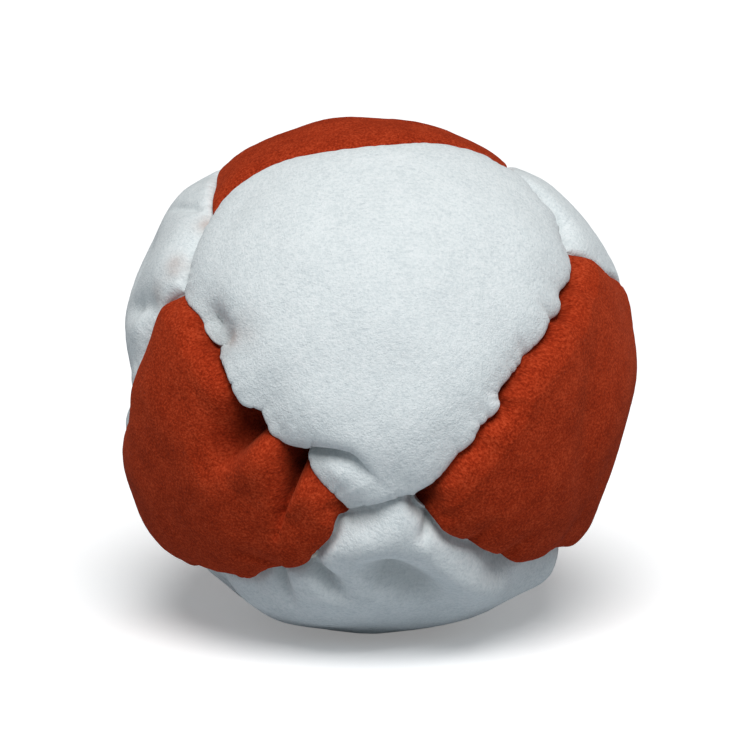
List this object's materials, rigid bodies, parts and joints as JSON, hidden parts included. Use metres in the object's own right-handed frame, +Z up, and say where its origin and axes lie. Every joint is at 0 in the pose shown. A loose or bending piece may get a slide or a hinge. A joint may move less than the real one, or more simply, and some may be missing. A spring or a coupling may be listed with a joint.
{
  "type": "footbag",
  "caption": "Small suede kick bag: panels of white and rust-red leather sewn inside out into a ball and filled with plastic pellets.",
  "frame": {"origin": "middle of the flat that the ball stands on, under the white base panel", "axes": "+Z up from the flat, -Y towards the white front panel, +X to the right of it"},
  "size_m": [0.0517, 0.052, 0.0515],
  "materials": {
    "white_suede": "napped suede, matt",
    "red_suede": "napped suede, matt",
    "sewing_thread": "waxed polyester thread",
    "plastic_pellets": "translucent moulded pellets"
  },
  "bodies": {
    "root": {"white_front_panel": "white_suede", "white_right_panel": "white_suede", "white_left_panel": "white_suede", "white_base_panel": "white_suede", "red_top_panel": "red_suede", "red_right_panel": "red_suede", "red_left_panel": "red_suede", "red_back_panel": "red_suede", "thread_white_front_to_white_right": "sewing_thread", "thread_white_front_to_white_left": "sewing_thread", "thread_white_front_to_white_base": "sewing_thread", "thread_white_front_to_red_top": "sewing_thread", "thread_white_front_to_red_right": "sewing_thread", "thread_white_front_to_red_left": "sewing_thread", "thread_white_right_to_white_left": "sewing_thread", "thread_white_right_to_white_base": "sewing_thread", "thread_white_right_to_red_top": "sewing_thread", "thread_white_right_to_red_right": "sewing_thread", "thread_white_right_to_red_back": "sewing_thread", "thread_white_left_to_white_base": "sewing_thread", "thread_white_left_to_red_top": "sewing_thread", "thread_white_left_to_red_left": "sewing_thread", "thread_white_left_to_red_back": "sewing_thread", "thread_white_base_to_red_right": "sewing_thread", "thread_white_base_to_red_left": "sewing_thread", "thread_white_base_to_red_back": "sewing_thread", "pellet_filling": "plastic_pellets"}
  },
  "joints": []
}
